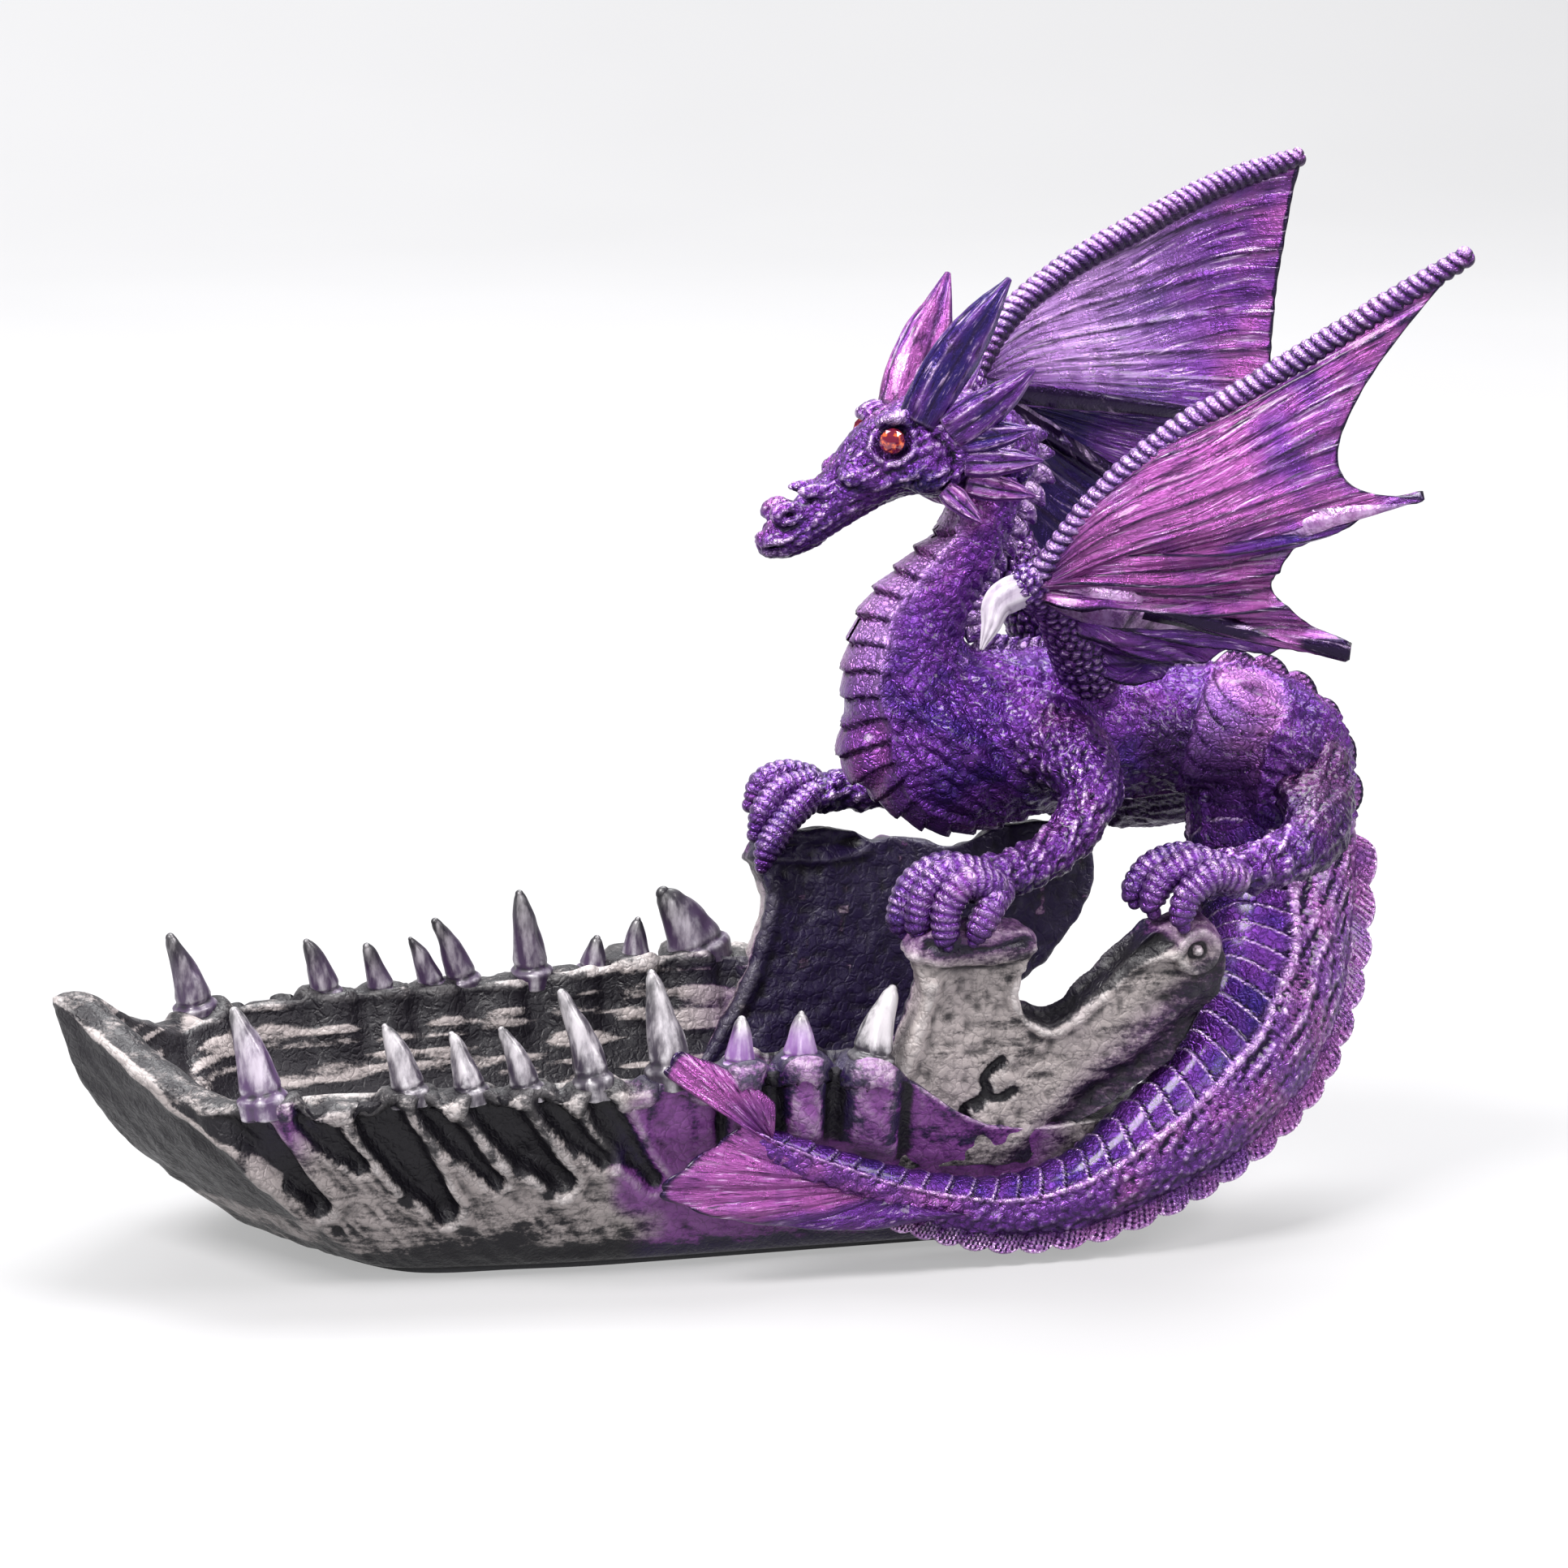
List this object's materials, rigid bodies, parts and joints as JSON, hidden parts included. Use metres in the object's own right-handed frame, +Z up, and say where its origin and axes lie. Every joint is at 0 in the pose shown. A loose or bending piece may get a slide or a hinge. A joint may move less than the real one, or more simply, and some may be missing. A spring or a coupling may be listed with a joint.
{
  "type": "dice tower",
  "caption": "Dice tower and tray: a winged dragon perched on the upright branches of a beast's lower jaw, its tail wrapped round one side. Dice drop under the belly and roll into the jaw.",
  "frame": {"origin": "on the standing surface, under the middle of the object's outline", "axes": "+X from the tip of the jaw towards the dragon's tail, +Z up, and the tail fin on the -Y side"},
  "size_m": [0.3218, 0.1456, 0.2416],
  "materials": {
    "dragon_resin": "metallic violet paint, magenta dry brushing and a dark wash on cast resin",
    "bone_resin": "grey bone dry brushed over black, on cast resin",
    "tooth_enamel": "pale bone paint with a dark ring at the gum",
    "claw_resin": "pearly off-white paint",
    "eye_gem": "faceted, foil backed",
    "base_felt": "black felt"
  },
  "bodies": {
    "root": {"dragon_body": "dragon_resin", "dragon_head": "dragon_resin", "eye_far": "eye_gem", "eye_near": "eye_gem", "far_branch": "bone_resin", "felt_pad": "base_felt", "foreleg_far": "dragon_resin", "foreleg_near": "dragon_resin", "frill_far": "dragon_resin", "frill_near": "dragon_resin", "hindleg_far": "dragon_resin", "hindleg_near": "dragon_resin", "horn_far": "dragon_resin", "horn_near": "dragon_resin", "jaw_tray": "bone_resin", "near_branch": "bone_resin", "tail": "dragon_resin", "tail_fin": "dragon_resin", "tooth_far_1": "tooth_enamel", "tooth_far_2": "tooth_enamel", "tooth_far_3": "tooth_enamel", "tooth_far_4": "tooth_enamel", "tooth_far_5": "tooth_enamel", "tooth_far_6": "tooth_enamel", "tooth_far_7": "tooth_enamel", "tooth_far_8": "tooth_enamel", "tooth_far_9": "tooth_enamel", "tooth_near_1": "tooth_enamel", "tooth_near_2": "tooth_enamel", "tooth_near_3": "tooth_enamel", "tooth_near_4": "tooth_enamel", "tooth_near_5": "tooth_enamel", "tooth_near_6": "tooth_enamel", "tooth_near_7": "tooth_enamel", "tooth_near_8": "tooth_enamel", "tooth_near_9": "tooth_enamel", "wing_claw_far": "claw_resin", "wing_claw_near": "claw_resin", "wing_far": "dragon_resin", "wing_near": "dragon_resin"}
  },
  "joints": []
}
